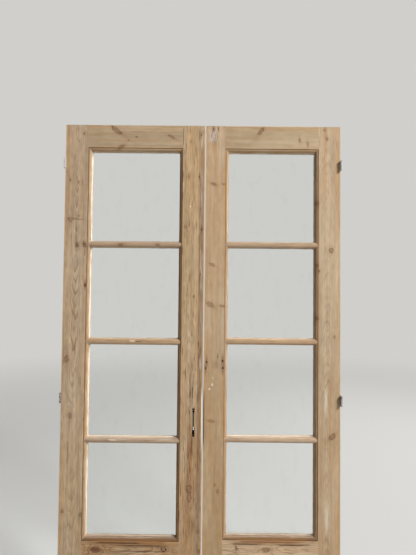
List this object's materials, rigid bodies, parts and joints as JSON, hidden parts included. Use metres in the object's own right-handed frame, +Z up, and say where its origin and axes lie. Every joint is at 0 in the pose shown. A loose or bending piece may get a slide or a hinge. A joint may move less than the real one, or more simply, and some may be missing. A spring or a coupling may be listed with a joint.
{
  "type": "french doors",
  "caption": "Pair of reclaimed pine french doors with glazed leaves, moulded glazing bars, butt hinges and a mortise lock; the leaves swing open towards the front.",
  "frame": {"origin": "on the floor under the middle of the closed pair, half way through its thickness", "axes": "+Z up along the stiles, +X across the pair to the right leaf, +Y from the moulded front to the back"},
  "size_m": [1.4146, 0.0635, 2.4],
  "materials": {
    "pine": "stripped, dry and worn",
    "wedge_wood": "end grain",
    "glass": "old, a little dusty",
    "putty": "hard, chalky",
    "hinge_steel": "worn bright",
    "lock_brass": "tarnished",
    "lock_iron": "dark, old"
  },
  "bodies": {
    "hinge_posts": {"left_frame_leaf_1": "hinge_steel", "left_frame_leaf_2": "hinge_steel", "left_frame_leaf_3": "hinge_steel", "left_hinge_pin_1": "hinge_steel", "left_hinge_pin_2": "hinge_steel", "left_hinge_pin_3": "hinge_steel", "right_frame_leaf_1": "hinge_steel", "right_frame_leaf_2": "hinge_steel", "right_frame_leaf_3": "hinge_steel", "right_hinge_pin_1": "hinge_steel", "right_hinge_pin_2": "hinge_steel", "right_hinge_pin_3": "hinge_steel"},
    "left_door": {"left_hinge_stile": "pine", "left_top_rail": "pine", "left_bottom_rail": "pine", "left_bar_1": "pine", "left_bar_2": "pine", "left_bar_3": "pine", "left_pane_1": "glass", "left_pane_2": "glass", "left_pane_3": "glass", "left_pane_4": "glass", "left_putty": "putty", "left_wedges": "wedge_wood", "left_hinge_screws": "hinge_steel", "left_hinge_leaf_1": "hinge_steel", "left_hinge_leaf_2": "hinge_steel", "left_hinge_leaf_3": "hinge_steel", "left_lock_stile": "pine", "lock_case": "lock_iron", "lock_faceplate": "lock_brass", "latch_bolt": "lock_brass", "lock_follower": "lock_iron", "lock_screws": "lock_brass"},
    "right_door": {"right_hinge_stile": "pine", "right_top_rail": "pine", "right_bottom_rail": "pine", "right_bar_1": "pine", "right_bar_2": "pine", "right_bar_3": "pine", "right_pane_1": "glass", "right_pane_2": "glass", "right_pane_3": "glass", "right_pane_4": "glass", "right_putty": "putty", "right_wedges": "wedge_wood", "right_hinge_screws": "hinge_steel", "right_hinge_leaf_1": "hinge_steel", "right_hinge_leaf_2": "hinge_steel", "right_hinge_leaf_3": "hinge_steel", "right_meeting_stile": "pine", "strike_plate": "lock_brass", "strike_screws": "lock_brass"},
    "dead_bolt": {"dead_bolt": "lock_brass"}
  },
  "joints": [
    {"name": "left_swing", "type": "hinge", "parent": "hinge_posts", "child": "left_door", "pos_m": [-0.7028, -0.028, 0], "axis": [0, 0, -1], "range_deg": [0, 170]},
    {"name": "right_swing", "type": "hinge", "parent": "hinge_posts", "child": "right_door", "pos_m": [0.7028, -0.0365, 0], "axis": [0, 0, 1], "range_deg": [0, 170]},
    {"name": "dead_bolt_throw", "type": "slide", "parent": "left_door", "child": "dead_bolt", "axis": [1, 0, 0], "range_m": [0, 0.018]}
  ]
}
